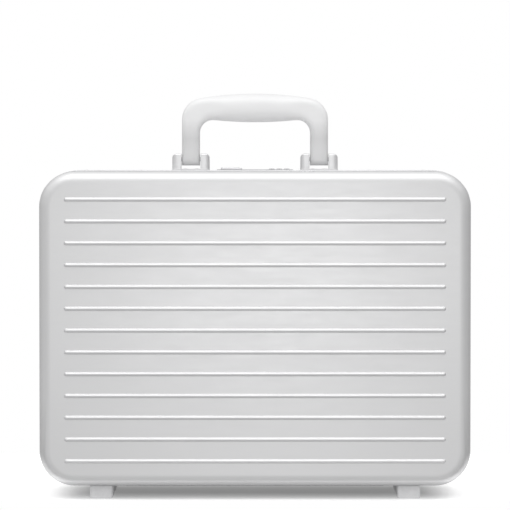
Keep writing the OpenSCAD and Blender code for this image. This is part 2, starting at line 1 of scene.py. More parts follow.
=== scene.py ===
"""Looks of the aluminium attache case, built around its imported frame.

Lengths in this script are millimetres in the row frame; mesh_object() turns them into metres.
X runs across the case, -Y is the lid side, +Z is up.
"""
from math import atan2, copysign, cos, hypot, pi, radians, sin, sqrt

import bmesh
import bpy
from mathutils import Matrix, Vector, noise


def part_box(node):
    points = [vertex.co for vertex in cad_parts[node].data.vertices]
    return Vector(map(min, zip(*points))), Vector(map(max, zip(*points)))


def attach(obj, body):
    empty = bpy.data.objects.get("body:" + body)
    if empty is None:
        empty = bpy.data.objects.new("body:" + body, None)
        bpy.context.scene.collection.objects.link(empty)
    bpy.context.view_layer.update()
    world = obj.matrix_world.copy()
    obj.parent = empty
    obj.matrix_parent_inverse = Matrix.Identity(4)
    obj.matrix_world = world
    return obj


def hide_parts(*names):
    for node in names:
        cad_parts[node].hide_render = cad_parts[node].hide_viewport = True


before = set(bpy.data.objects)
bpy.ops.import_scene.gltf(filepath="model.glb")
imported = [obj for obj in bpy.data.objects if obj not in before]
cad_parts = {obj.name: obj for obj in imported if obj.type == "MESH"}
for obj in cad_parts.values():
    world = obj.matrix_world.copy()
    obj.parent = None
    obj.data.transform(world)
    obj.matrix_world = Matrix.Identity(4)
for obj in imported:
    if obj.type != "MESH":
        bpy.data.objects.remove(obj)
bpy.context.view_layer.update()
MM = 0.001


def span(lo, hi):
    """Middle and half size of what lies between two numbers or corners."""
    return (lo + hi) / 2, (hi - lo) / 2


def box_mm(node):
    """A CAD node's lowest and highest corners in millimetres."""
    lo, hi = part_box(node)
    return lo / MM, hi / MM


# ---- driving sizes ----

FRAME_LO, FRAME_HI = box_mm("base_frame")
HALF_W = FRAME_HI.x  # the frame's outline
TOP_Z, BOTTOM_Z = FRAME_HI.z, FRAME_LO.z
MID_Z = (TOP_Z + BOTTOM_Z) / 2
HALF_H = (TOP_Z - BOTTOM_Z) / 2
CORNER_R = 36
CORNER_X, CORNER_Z = HALF_W - CORNER_R, HALF_H - CORNER_R
SHELL_INSET = 1.0  # the shell's side wall lies this far inside the outline
SHELL_T = 1.2
SHELL_START = 2.1  # where the wall comes out of the frame's groove
FACE_FILLET = 11  # radius between the face and the side walls
RIB_RISE = 1.8
FACE_V = box_mm("base_shell")[1].y - RIB_RISE  # the face's distance from the parting plane
RIB_COUNT = 13
RIB_TIP = 188.8  # half of a rib's length
RIB_HALF_WIDTH = 2.0
FACE_MARGIN = 3.0  # from the last rib's lines to the face grid's next line
RIB_TOP, RIB_BOTTOM = HALF_H - 28.6, -HALF_H + 26.2
PIVOT_Z = TOP_Z + 11  # the handle's pivot
HANDLE_Y = 10.5

# ---- mesh tools ----


def new_object(name, data):
    """Puts a mesh, a curve, a lamp or a camera into the scene."""
    made = bpy.data.objects.new(name, data)
    bpy.context.scene.collection.objects.link(made)
    return made


def mesh_object(name, verts, faces, sharp_deg=35):
    """A mesh piece from points in millimetres, with its normals outwards and smooth shading."""
    mesh = bpy.data.meshes.new(name)
    mesh.from_pydata([Vector(v) * MM for v in verts], [], faces)
    work = bmesh.new()
    work.from_mesh(mesh)
    bmesh.ops.remove_doubles(work, verts=work.verts, dist=1e-7)
    bmesh.ops.recalc_face_normals(work, faces=work.faces)
    work.to_mesh(mesh)
    work.free()
    mesh.shade_smooth()
    mesh.set_sharp_from_angle(angle=radians(sharp_deg))
    return new_object(name, mesh)


def skin(rings, closed=True, caps=True, loop=False):
    """Points and faces of a surface through rings of equal length.

    closed joins each ring's ends, loop joins the last ring to the first, caps close both ends.
    """
    count = len(rings[0])
    verts = [p for ring in rings for p in ring]
    faces = []
    last = count if closed else count - 1
    for k in range(len(rings) if loop else len(rings) - 1):
        m = (k + 1) % len(rings)
        for i in range(last):
            j = (i + 1) % count
            faces.append((k * count + i, k * count + j, m * count + j, m * count + i))
    if caps and not loop:
        faces.append(tuple(range(count)))
        faces.append(tuple((len(rings) - 1) * count + i for i in range(count)))
    return verts, faces


def join_parts(parts):
    """One list of points and faces from several."""
    verts, faces = [], []
    for part_verts, part_faces in parts:
        start = len(verts)
        verts += part_verts
        faces += [tuple(start + i for i in f) for f in part_faces]
    return verts, faces


def angles(steps, first=0, turn=90):
    """Evenly spaced angles in radians, from the first one over a turn in degrees."""
    return [radians(first + turn * k / steps) for k in range(steps + 1)]


def joined_object(name, parts, sharp_deg=35):
    """One mesh piece from several lists of points and faces."""
    return mesh_object(name, *join_parts(parts), sharp_deg)


def rounded_rectangle(half_a, half_b, r, steps=6):
    """Points of a rectangle with round corners, in its own plane, counter-clockwise."""
    points = []
    for k, (sa, sb) in enumerate(((1, 1), (-1, 1), (-1, -1), (1, -1))):
        for a in angles(steps, 90 * k):
            points.append((sa * (half_a - r) + r * cos(a), sb * (half_b - r) + r * sin(a)))
    return points


def rounded_block(centre, half, corner_r, edge_r, steps=6, edge_steps=4):
    """A block with round vertical corners and softly rounded top and bottom edges."""
    rings = []
    profile = []
    for a in angles(edge_steps):
        profile.append((edge_r * (1 - sin(a)), -half[2] + edge_r * (1 - cos(a))))
    profile += [(inset, -z) for inset, z in reversed(profile)]
    for inset, z in profile:
        ring = rounded_rectangle(half[0] - inset, half[1] - inset, max(corner_r - inset, 0.05), steps)
        rings.append([(centre[0] + a, centre[1] + b, centre[2] + z) for a, b in ring])
    return skin(rings)


def lathe(profile, centre, axis, steps=32):
    """A turned solid: profile is (distance from the axis, place along it) from end to end."""
    axis = Vector(axis).normalized()
    side = axis.orthogonal().normalized()
    other = axis.cross(side)
    rings = []
    for r, along in profile:
        ring = []
        for i in range(steps):
            a = 2 * pi * i / steps
            ring.append(Vector(centre) + axis * along + (side * cos(a) + other * sin(a)) * r)
        rings.append(ring)
    return skin(rings)


def apply_modifiers(piece):
    """Makes the modified mesh the piece's own mesh."""
    graph = bpy.context.evaluated_depsgraph_get()
    made = bpy.data.meshes.new_from_object(piece.evaluated_get(graph))
    piece.modifiers.clear()
    piece.data = made
    return piece


def modify(piece, kind, **settings):
    """Puts one modifier on a piece and keeps the mesh it makes."""
    step = piece.modifiers.new(kind.lower(), kind)
    for key, value in settings.items():
        setattr(step, key, value)
    bpy.context.view_layer.update()
    return apply_modifiers(piece)


def cut(piece, verts, faces, sharp_deg=40):
    """Takes a closed shape away from a piece."""
    tool = mesh_object("cutter", verts, faces)
    modify(piece, "BOOLEAN", operation="DIFFERENCE", solver="EXACT", object=tool)
    bpy.data.objects.remove(tool)
    piece.data.set_sharp_from_angle(angle=radians(sharp_deg))
    return piece


def grid_faces(columns, rows):
    """Faces of a grid of points in which point (i, j) has the number i * rows + j."""
    faces = []
    for i in range(columns - 1):
        for j in range(rows - 1):
            faces.append((i * rows + j, (i + 1) * rows + j, (i + 1) * rows + j + 1, i * rows + j + 1))
    return faces


def grid_border(columns, rows):
    """The grid's border as (i, j), once round from the first point."""
    border = [(i, 0) for i in range(columns)] + [(columns - 1, j) for j in range(1, rows)]
    border += [(i, rows - 1) for i in range(columns - 2, -1, -1)]
    return border + [(0, j) for j in range(rows - 2, 0, -1)]


def block_shape(x, y, z):
    """A plain block between two corners, for cutting."""
    centre, half = zip(span(*x), span(*y), span(*z))
    return rounded_block(centre, half, 0.05, 0.01, 1, 1)


def finish_piece(piece, body, material, replaced=()):
    """Gives a new piece its material, its body and the CAD nodes it stands for."""
    piece.data.materials.clear()
    piece.data.materials.append(material)
    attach(piece, body)
    if replaced:
        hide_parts(*replaced)
    return piece


# ---- materials ----


class Tree:
    """A short way to write a node tree."""

    def __init__(self, tree):
        self.tree = tree

    def add(self, kind, **values):
        """A new node with its settings."""
        node = self.tree.nodes.new(kind)
        for key, value in values.items():
            setattr(node, key, value)
        return node

    def link(self, source, target):
        self.tree.links.new(source, target)

    def split(self, vector):
        """A vector's X, Y and Z outputs."""
        node = self.add("ShaderNodeSeparateXYZ")
        self.link(vector, node.inputs["Vector"])
        return node.outputs

    def grey_ramp(self, source, stops):
        """A grey value that follows (place, value) stops along the source."""
        spread = self.add("ShaderNodeMapRange")
        spread.inputs["From Min"].default_value = stops[0][0]
        spread.inputs["From Max"].default_value = stops[-1][0]
        self.link(source, spread.inputs["Value"])
        node = self.add("ShaderNodeValToRGB")
        self.link(spread.outputs["Result"], node.inputs["Fac"])
        ramp = node.color_ramp
        length = stops[-1][0] - stops[0][0]
        places = [((place - stops[0][0]) / length, (value, value, value, 1)) for place, value in stops]
        ramp.elements[0].position, ramp.elements[0].color = places[0]
        ramp.elements[1].position, ramp.elements[1].color = places[-1]
        for place, colour in places[1:-1]:
            ramp.elements.new(place).color = colour
        return node.outputs["Color"]


def toned(tone, factor):
    """A colour made darker or lighter."""
    return tuple(min(1, t * factor) for t in tone)


class Nodes(Tree):
    """A material with a Principled shader."""

    def __init__(self, name):
        self.material = bpy.data.materials.new(name)
        self.material.use_nodes = True
        super().__init__(self.material.node_tree)
        self.shader = self.tree.nodes["Principled BSDF"]
        self.place = self.add("ShaderNodeTexCoord").outputs["Object"]

    def scaled(self, scale):
        """The object's coordinates, stretched."""
        node = self.add("ShaderNodeMapping")
        node.inputs["Scale"].default_value = scale
        self.link(self.place, node.inputs["Vector"])
        return node.outputs["Vector"]

    def noise(self, scale, detail=3, stretch=(1, 1, 1), rough=0.5):
        """Noise over the object, from 0 to 1."""
        node = self.add("ShaderNodeTexNoise")
        node.inputs["Scale"].default_value = scale
        node.inputs["Detail"].default_value = detail
        node.inputs["Roughness"].default_value = rough
        self.link(self.scaled(stretch), node.inputs["Vector"])
        return node.outputs["Fac"]

    def ramp(self, source, low, high, start=0.0, end=1.0):
        """Maps a value from start..end to low..high, which may be numbers or colours."""
        if hasattr(low, "__len__"):
            node = self.add("ShaderNodeValToRGB")
            node.color_ramp.elements[0].position = start
            node.color_ramp.elements[1].position = end
            node.color_ramp.elements[0].color = (*low, 1)
            node.color_ramp.elements[1].color = (*high, 1)
            self.link(source, node.inputs["Fac"])
            return node.outputs["Color"]
        node = self.add("ShaderNodeMapRange")
        for key, value in (("From Min", start), ("From Max", end), ("To Min", low), ("To Max", high)):
            node.inputs[key].default_value = value
        self.link(source, node.inputs["Value"])
        return node.outputs["Result"]

    def maths(self, operation, a, b=None):
        """A sum of one or two values, each a number or an output."""
        node = self.add("ShaderNodeMath", operation=operation)
        for slot, value in zip(node.inputs, (a, b)):
            if value is None:
                continue
            if isinstance(value, (int, float)):
                slot.default_value = value
            else:
                self.link(value, slot)
        return node.outputs[0]

    def by_height(self, colour, stops, sides=None):
        """Scales a colour by (height, factor) stops as painted shade, near the sides only if their depths
        are given.
        """
        if stops is None:
            return colour
        place = self.split(self.place)
        factor = self.grey_ramp(place["Z"], [(z * MM, value) for z, value in stops])
        if sides is not None:
            depth = self.maths("ABSOLUTE", place["Y"])
            on_face = self.ramp(depth, 0.0, 1.0, sides[0] * MM, sides[1] * MM)
            factor = self.maths("MAXIMUM", factor, on_face)
        node = self.add("ShaderNodeVectorMath", operation="SCALE")
        self.link(colour, node.inputs[0])
        self.link(factor, node.inputs["Scale"])
        return node.outputs["Vector"]

    def bump(self, height, strength, distance, normal=None):
        """A normal that follows a height; distance is in metres."""
        node = self.add("ShaderNodeBump")
        node.inputs["Strength"].default_value = strength
        node.inputs["Distance"].default_value = distance
        self.link(height, node.inputs["Height"])
        if normal is not None:
            self.link(normal, node.inputs["Normal"])
        return node.outputs["Normal"]

    def set(self, **inputs):
        """Sets the shader's inputs; underscores in the names stand for spaces."""
        for key, value in inputs.items():
            slot = self.shader.inputs[key.replace("_", " ")]
            if isinstance(value, (int, float)):
                slot.default_value = value
            elif isinstance(value, tuple):
                slot.default_value = (*value, 1)
            else:
                self.link(value, slot)


def blasted_aluminium(name, tone, rough, grain=2600, stops=None, sides=None):
    """Fine satin aluminium: a blasted grain, faint handling marks, edges rubbed brighter, painted shade
    by height where stops are given.
    """
    n = Nodes(name)
    cloud = n.noise(9, 4)
    fine = n.noise(grain, 2)
    speck = n.noise(grain * 0.35, 3)
    colour = n.ramp(cloud, toned(tone, 0.985), tone, 0.3, 0.7)
    edge = n.ramp(n.add("ShaderNodeNewGeometry").outputs["Pointiness"], 0.0, 1.0, 0.53, 0.6)
    mix = n.add("ShaderNodeMix", data_type="RGBA")
    mix.inputs[7].default_value = (*toned(tone, 1.05), 1)
    n.link(edge, mix.inputs[0])
    n.link(colour, mix.inputs[6])
    marks = n.noise(35, 5, (1, 1, 6), 0.7)
    rubbed = n.ramp(marks, rough - 0.03, rough + 0.03, 0.35, 0.65)
    roughness = n.maths("ADD", rubbed, n.ramp(speck, -0.03, 0.03))
    normal = n.bump(fine, 0.12, 0.00004)
    normal = n.bump(speck, 0.10, 0.00006, normal)
    n.set(Base_Color=n.by_height(mix.outputs[2], stops, sides), Metallic=1.0, Roughness=roughness,
          Normal=normal)
    return n.material


def brushed_metal(name, tone, rough, along=(1, 1, 1), depth=0.00003):
    """Drawn or brushed metal: fine lines along the axis that is stretched least."""
    n = Nodes(name)
    lines = n.noise(900, 3, along, 0.7)
    cloud = n.noise(14, 4)
    colour = n.ramp(lines, toned(tone, 0.93), tone, 0.3, 0.7)
    drawn = n.ramp(lines, rough - 0.05, rough + 0.05)
    roughness = n.maths("ADD", drawn, n.ramp(cloud, -0.04, 0.04, 0.3, 0.7))
    n.set(Base_Color=colour, Metallic=1.0, Roughness=roughness, Normal=n.bump(lines, 0.2, depth))
    return n.material


def satin_enamel(name, tone, rough, stops=None):
    """Satin silver enamel: nearly smooth, with a faint orange peel, a metallic base and painted shade by
    height where stops are given.
    """
    n = Nodes(name)
    peel = n.noise(260, 2)
    cloud = n.noise(20, 4)
    colour = n.ramp(cloud, toned(tone, 0.97), tone, 0.3, 0.7)
    n.set(Base_Color=n.by_height(colour, stops), Metallic=0.15,
          Roughness=n.ramp(cloud, rough - 0.03, rough + 0.04, 0.3, 0.7),
          Normal=n.bump(peel, 0.12, 0.00005), Coat_Weight=0.05, Coat_Roughness=0.3)
    return n.material


def moulded_plastic(name, tone, rough):
    """Moulded plastic with a fine spark-eroded texture and scuffs."""
    n = Nodes(name)
    grain = n.noise(1500, 3)
    scuff = n.noise(60, 6, (1, 1, 1), 0.75)
    colour = n.ramp(scuff, toned(tone, 0.9), tone, 0.35, 0.6)
    n.set(Base_Color=colour, Roughness=n.ramp(scuff, rough + 0.08, rough - 0.05, 0.35, 0.65),
          Normal=n.bump(grain, 0.25, 0.00008))
    return n.material


def rubber(name, tone):
    """Black rubber with dust on it."""
    n = Nodes(name)
    dust = n.noise(70, 6, (1, 1, 1), 0.7)
    colour = n.ramp(dust, tone, toned(tone, 1.7), 0.4, 0.75)
    n.set(Base_Color=colour, Roughness=n.ramp(dust, 0.55, 0.8),
          Normal=n.bump(n.noise(1800, 2), 0.2, 0.00006))
    return n.material


def woven(name, tone, thread=0.55):
    """Plain weave: warp and weft threads of the given pitch in millimetres, with uneven yarn and painted
    shade between the threads.
    """
    n = Nodes(name)
    place = n.split(n.place)
    turns = pi / (thread * MM)
    warp = n.maths("SINE", n.maths("MULTIPLY", place["X"], turns))
    up = n.maths("ADD", place["Z"], place["Y"])
    weft = n.maths("SINE", n.maths("MULTIPLY", up, turns))
    weave = n.maths("MULTIPLY", warp, weft)
    height = n.maths("ADD", n.maths("MULTIPLY", weave, 0.5), n.noise(1600, 3))
    # the weave term paints shade: lighter on the raised crossings, darker between them; the noise is
    # uneven yarn
    shade = n.maths("ADD", n.ramp(weave, 0.0, 0.6, -1, 1), n.maths("MULTIPLY", n.noise(120, 5), 0.5))
    colour = n.ramp(shade, toned(tone, 0.55), toned(tone, 1.5), 0.1, 0.95)
    n.set(Base_Color=colour, Roughness=0.9, Normal=n.bump(height, 0.5, 0.00012),
          Sheen_Weight=0.35, Sheen_Roughness=0.5, Sheen_Tint=toned(tone, 3))
    return n.material


def leather(name, tone):
    """Grained leather: cells of two sizes, creases, and colour darker towards the cells' edges."""
    n = Nodes(name)
    cells = n.add("ShaderNodeTexVoronoi", feature="DISTANCE_TO_EDGE")
    cells.inputs["Scale"].default_value = 620
    n.link(n.place, cells.inputs["Vector"])
    crease = n.noise(45, 6, (1, 1, 1), 0.65)
    grain = n.ramp(cells.outputs["Distance"], 0.0, 1.0, 0.0, 0.25)
    height = n.maths("ADD", grain, n.maths("MULTIPLY", crease, 0.8))
    colour = n.ramp(grain, toned(tone, 0.5), tone, 0.0, 0.6)
    n.set(Base_Color=colour, Roughness=n.ramp(crease, 0.38, 0.6, 0.3, 0.7),
          Normal=n.bump(height, 0.5, 0.00025), Specular_IOR_Level=0.45)
    return n.material


def ink(name, tone):
    """The dials' printed figures."""
    n = Nodes(name)
    colour = n.ramp(n.noise(400, 3), tone, tuple(t + 0.03 for t in tone))
    n.set(Base_Color=colour, Roughness=0.55)
    return n.material


ALU = (0.805, 0.805, 0.81)
# tone of the pressed sides by height in mm, painted shade that evens out what the table mirrors in the
# lower edge
SHELL_PAINTED_SHADE_STOPS = ((13, 0.7), (16.5, 0.75), (18, 0.95), (22, 0.98), (26, 0.86), (40, 0.78),
               (55, 0.88), (100, 1))
# the painted shade stays on the sides; the face is left out between these depths
SHELL_PAINTED_SHADE_SIDES = (60, 67)  # depths between which the face takes over from the sides
SHELL = blasted_aluminium("shell_aluminium_painted_shade", ALU, 0.5, stops=SHELL_PAINTED_SHADE_STOPS, sides=SHELL_PAINTED_SHADE_SIDES)
FRAME = brushed_metal("frame_aluminium", (0.8, 0.8, 0.81), 0.3, (0.02, 1, 0.02))
BRACKET = blasted_aluminium("bracket_aluminium", (0.83, 0.83, 0.835), 0.46, 3200)
# and of the handle, painted shade darker at its foot and a little at its crown
HANDLE_PAINTED_SHADE_STOPS = ((358, 0.78), (376, 1), (390, 0.96), (403, 0.87))
HANDLE = satin_enamel("handle_enamel_painted_shade", (0.985, 0.985, 0.99), 0.5, HANDLE_PAINTED_SHADE_STOPS)
STEEL = brushed_metal("steel", (0.6, 0.6, 0.61), 0.3, (0.05, 1, 1))
DARK_STEEL = brushed_metal("dark_steel", (0.36, 0.36, 0.37), 0.4, (0.05, 1, 1))
PLATE = brushed_metal("lock_plate_aluminium", (0.6, 0.6, 0.61), 0.32, (0.03, 1, 1))
SLIDER = brushed_metal("slider_aluminium", (0.88, 0.88, 0.89), 0.3, (1, 0.03, 1))
RIVET = blasted_aluminium("rivet_aluminium", (0.9, 0.9, 0.905), 0.3, 3200)
# the hinge's dark tone is painted shade for its place under the case
HINGE_PAINTED_SHADE = brushed_metal("hinge_aluminium_painted_shade", (0.58, 0.58, 0.59), 0.36, (0.03, 1, 1))
DIAL = satin_enamel("dial_enamel", (0.55, 0.55, 0.56), 0.35)
DIAL_INK = ink("dial_ink", (0.03, 0.03, 0.035))
FEET = moulded_plastic("feet_plastic", (0.69, 0.69, 0.7), 0.5)
SEAL = rubber("seal_rubber", (0.02, 0.02, 0.021))
LINING = woven("lining_weave", (0.13, 0.135, 0.145))
LOOPS = woven("loop_elastic", (0.05, 0.05, 0.055), 0.8)
LEATHER = leather("organiser_leather", (0.06, 0.058, 0.056))
THREAD = woven("stitch_thread", (0.35, 0.35, 0.34), 0.2)

# ---- shells ----


def outline_ring(inset, v, side, steps=16):
    """The case's rounded outline, moved inwards, at a distance v from the parting plane."""
    points = rounded_rectangle(HALF_W - inset, HALF_H - inset, CORNER_R - inset, steps)
    return [(x, side * v, MID_Z + z) for x, z in points]


def rib_centres():
    """Heights of the ribs over the middle of the case, from the lowest up."""
    pitch = (RIB_TOP - RIB_BOTTOM) / (RIB_COUNT - 1)
    return [RIB_BOTTOM + i * pitch for i in range(RIB_COUNT)]


def rib_height(x, z, centres):
    """Rise of the pressed ribs over the flat face: round crowns with a soft foot."""
    along = max(0.0, abs(x) - (RIB_TIP - RIB_HALF_WIDTH))
    near = min(abs(z - c) for c in centres)
    d = hypot(along, near) / RIB_HALF_WIDTH
    return RIB_RISE * (1 - d * d) if d < 1 else 0.0


def face_lines():
    """Places of the face grid's lines across and up, crowded where the ribs bend."""
    zs = [c + RIB_HALF_WIDTH * k / 8 for c in rib_centres() for k in range(-9, 10)]
    below = [-CORNER_Z - k for k in (0, 2, 4)]
    above = [CORNER_Z + k for k in (0, 1.2, 2.4)]
    zs = sorted([zs[0] - FACE_MARGIN, zs[-1] + FACE_MARGIN] + zs + below + above)
    tips = [RIB_TIP + RIB_HALF_WIDTH * (k / 6 - 1) for k in range(0, 8)]
    right = [CORNER_X + k for k in (0, 1.5, 3, 4.5, 6)] + tips + [RIB_TIP + FACE_MARGIN]
    middle = [CORNER_X * k / 6 for k in range(-5, 6)]
    return sorted([-x for x in right] + middle + right), zs


def rim_point(x, z, xs, zs, inset):
    """The outline's point that belongs to a point on the border of the face grid."""
    r = CORNER_R - inset
    sx, sz = copysign(1, x), copysign(1, z)
    if z in (zs[0], zs[-1]):
        a = radians(45) * max(0, abs(x) - CORNER_X) / (xs[-1] - CORNER_X)
        if abs(x) <= CORNER_X:
            return x, sz * (CORNER_Z + r)
        return sx * (CORNER_X + r * sin(a)), sz * (CORNER_Z + r * cos(a))
    edge = zs[-1] if z > 0 else -zs[0]
    a = radians(45) * max(0, abs(z) - CORNER_Z) / (edge - CORNER_Z)
    if abs(z) <= CORNER_Z:
        return sx * (CORNER_X + r), z
    return sx * (CORNER_X + r * cos(a)), sz * (CORNER_Z + r * sin(a))


def shell_profile():
    """(inset, distance from the parting plane) from the face's edge round to the frame's groove."""
    profile = [(SHELL_INSET + FACE_FILLET + 1, FACE_V)]
    for a in angles(10):
        inset = SHELL_INSET + FACE_FILLET * (1 - sin(a))
        profile.append((inset, FACE_V - FACE_FILLET * (1 - cos(a))))
    return profile + [(SHELL_INSET, FACE_V - 2 * FACE_FILLET), (SHELL_INSET, SHELL_START)]


def shell_piece(name, side):
    """A pressed shell: ribbed face, rounded band and side walls, with its wall's thickness."""
    xs, zs = face_lines()
    centres = rib_centres()
    rows, columns = len(zs), len(xs)
    verts = [(x, side * (FACE_V + rib_height(x, z, centres)), MID_Z + z) for x in xs for z in zs]
    faces = grid_faces(columns, rows)
    border = grid_border(columns, rows)
    previous = [i * rows + j for i, j in border]
    for inset, v in shell_profile():
        current = []
        for i, j in border:
            x, z = rim_point(xs[i], zs[j], xs, zs, inset)
            current.append(len(verts))
            verts.append((x, side * v, MID_Z + z))
        for k in range(len(current)):
            m = (k + 1) % len(current)
            faces.append((previous[k], previous[m], current[m], current[k]))
        previous = current
    piece = mesh_object(name, verts, faces, 60)
    return modify(piece, "SOLIDIFY", thickness=SHELL_T * MM, offset=-1)


# ---- frames, seal and rivets ----

LIP_T, LIP_V = 0.95, 9.0
WEB_U, WEB_V = 4.0, 2.0
LEG_U, LEG_T, LEG_V = 2.25, 1.5, 14.0
PART_GAP = 0.25
SEAL_U, SEAL_V = (1.25, 2.75), 1.25


def frame_section(with_groove):
    """The frame's section as (inset, v): a lip over the shell, a web and a leg inside."""
    e = 0.3
    section = [(0, PART_GAP + e), (0, LIP_V - 2.2), (e / 2, LIP_V - 2.0), (e / 2, LIP_V - 1.6)]
    section += [(0, LIP_V - 1.4), (0, LIP_V - e), (e, LIP_V), (LIP_T, LIP_V), (LIP_T, WEB_V)]
    section += [(LEG_U, WEB_V), (LEG_U, LEG_V)]
    section += [(LEG_U + LEG_T - e, LEG_V), (LEG_U + LEG_T, LEG_V - e), (LEG_U + LEG_T, WEB_V + 0.1)]
    section += [(WEB_U, WEB_V), (WEB_U, PART_GAP + e), (WEB_U - e, PART_GAP)]
    if with_groove:
        low, high = SEAL_U[0] - 0.05, SEAL_U[1] + 0.05
        section += [(high, PART_GAP), (high, SEAL_V + 0.05), (low, SEAL_V + 0.05), (low, PART_GAP)]
    return section + [(e, PART_GAP)]


def swept(name, section, side, sharp=30):
    """A closed section carried round the case's outline."""
    return mesh_object(name, *skin([outline_ring(u, v, side) for u, v in section], loop=True), sharp)


def seal_section():
    """A rubber seal with a half-round bead towards the lid."""
    middle, half = span(*SEAL_U)
    bead = []
    for a in angles(8, turn=180):
        bead.append((middle - half * cos(a), SEAL_V * 0.5 - (SEAL_V * 0.5 - 0.1) * sin(a)))
    return [(SEAL_U[0], SEAL_V)] + bead + [(SEAL_U[1], SEAL_V)]


def dome(centre, axis, r, rise, sink):
    """A rivet's domed head with a little foot under it."""
    profile = [(0.01, -sink), (r, -sink), (r, rise * 0.15)]
    for a in angles(5)[1:]:
        profile.append((max(r * cos(a), 0.01), rise * (0.15 + 0.85 * sin(a))))
    return lathe(profile, centre, axis, 20)


RIVET_V = 5.5
RIVET_SIDE_Z = (-95, 0, 95)
RIVET_TOP_X = (-170, -115, 115, 170)
RIVET_R = 2.0


def frame_rivets(name, side):
    """Domed rivet heads outside the frame and their tails inside."""
    spots = []
    for s in (-1, 1):
        spots += [((s * HALF_W, side * RIVET_V, MID_Z + z), (s, 0, 0)) for z in RIVET_SIDE_Z]
    spots += [((x, side * RIVET_V, TOP_Z), (0, 0, 1)) for x in RIVET_TOP_X]
    parts = []
    for centre, axis in spots:
        parts.append(dome(centre, axis, RIVET_R, 0.35, 0.3))
        inside = Vector(centre) - Vector(axis) * (LEG_U + LEG_T)
        parts.append(dome(inside, -Vector(axis), RIVET_R, 0.7, 0.3))
    return joined_object(name, parts)


# ---- feet ----

FOOT_SCREW_Y = (24, 45)


def foot_piece(name, node):
    """A moulded foot with soft edges and two sunk screw holes."""
    centre, half = span(*box_mm(node))
    piece = mesh_object(name, *rounded_block(centre, half, 2.5, 0.7), 45)
    side = 1 if centre.y > 0 else -1
    for y in FOOT_SCREW_Y:
        cut(piece, *lathe([(3.4, -2), (3.4, 5)], (centre.x, side * y, 0), (0, 0, 1), 28))
    return piece


# ---- handle ----

HANDLE_HALF_W = box_mm("handle_grip")[1].x
CROWN_Z = box_mm("handle_grip")[1].z
LEG_W = 18.2
GRIP_T = box_mm("handle_grip")[1].y - box_mm("handle_grip")[0].y
GRIP_H = 28.8
CROWN_R, SHOULDER_R, SAG_R, ARCH_R = 340, 22, 400, 13
LEG_END_R = 6.3
ARCH_X = HANDLE_HALF_W - LEG_W
ARCH_Z = CROWN_Z - GRIP_H
ARCH_CX = ARCH_X - ARCH_R
ARCH_CZ = ARCH_Z + SAG_R - sqrt((SAG_R + ARCH_R) ** 2 - ARCH_CX ** 2)
SHOULDER_X = HANDLE_HALF_W - SHOULDER_R
SHOULDER_Z = CROWN_Z - CROWN_R + sqrt((CROWN_R - SHOULDER_R) ** 2 - SHOULDER_X ** 2)


def outside_reach(x, z, dx, dz):
    """How far it is from a point inside the handle to its outer outline, along a direction."""
    low, high = 0.0, 60.0
    for _ in range(40):
        middle = (low + high) / 2
        px, pz = abs(x + dx * middle), z + dz * middle
        inside = px <= HANDLE_HALF_W if pz <= SHOULDER_Z else (
            hypot(px - SHOULDER_X, pz - SHOULDER_Z) <= SHOULDER_R
            or (px < SHOULDER_X * CROWN_R / (CROWN_R - SHOULDER_R)
                and hypot(px, pz - CROWN_Z + CROWN_R) <= CROWN_R))
        low, high = (middle, high) if inside else (low, middle)
    return low


def handle_stations():
    """Pairs of inner and outer points along the left half of the handle, from its end to the middle."""
    stations = []
    for a in angles(8, turn=80):
        z = PIVOT_Z - LEG_END_R * cos(a)
        stations.append(((-ARCH_X, z), (-HANDLE_HALF_W, z)))
    for k in range(1, 9):
        z = PIVOT_Z + (ARCH_CZ - PIVOT_Z) * k / 9
        stations.append(((-ARCH_X, z), (-HANDLE_HALF_W, z)))
    tangent = atan2(ARCH_Z + SAG_R - ARCH_CZ, ARCH_CX)
    for k in range(19):
        a = tangent * k / 18
        dx, dz = -cos(a), sin(a)
        reach = outside_reach(-ARCH_CX, ARCH_CZ, dx, dz)
        inner = (-ARCH_CX + ARCH_R * dx, ARCH_CZ + ARCH_R * dz)
        stations.append((inner, (-ARCH_CX + reach * dx, ARCH_CZ + reach * dz)))
    start_in, start_out = stations[-1][0][0], stations[-1][1][0]
    for k in range(1, 13):
        share = 1 - k / 12
        x_in, x_out = start_in * share, start_out * share
        z_in = ARCH_Z + SAG_R - sqrt(SAG_R ** 2 - x_in ** 2)
        z_out = CROWN_Z - CROWN_R + sqrt(CROWN_R ** 2 - x_out ** 2)
        stations.append(((x_in, z_in), (x_out, z_out)))
    return stations


def smooth(t):
    """A step from 0 to 1 with soft ends."""
    t = min(1.0, max(0.0, t))
    return t * t * (3 - 2 * t)


def handle_half_thickness(inner, outer):
    """Half of the handle from front to back: slim legs that swell into the grip."""
    z = (inner[1] + outer[1]) / 2
    if z < PIVOT_Z:
        return sqrt(max(LEG_END_R ** 2 - (PIVOT_Z - z) ** 2, 0.3))
    swell = smooth((z - PIVOT_Z - 8) / (ARCH_Z + GRIP_H / 2 - PIVOT_Z - 8))
    return LEG_END_R + (GRIP_T / 2 - LEG_END_R) * swell


def handle_ring(inner, outer, half_t, power, steps=40):
    """A section between an inner and an outer point: a rounded rectangle with full sides."""
    cx, cz = (inner[0] + outer[0]) / 2, (inner[1] + outer[1]) / 2
    ax, az = (outer[0] - inner[0]) / 2, (outer[1] - inner[1]) / 2
    ring = []
    for i in range(steps):
        a = 2 * pi * i / steps
        c = copysign(abs(cos(a)) ** (2 / power), cos(a))
        s = copysign(abs(sin(a)) ** (2 / power), sin(a))
        ring.append((cx + ax * c, HANDLE_Y + half_t * s, cz + az * c))
    return ring


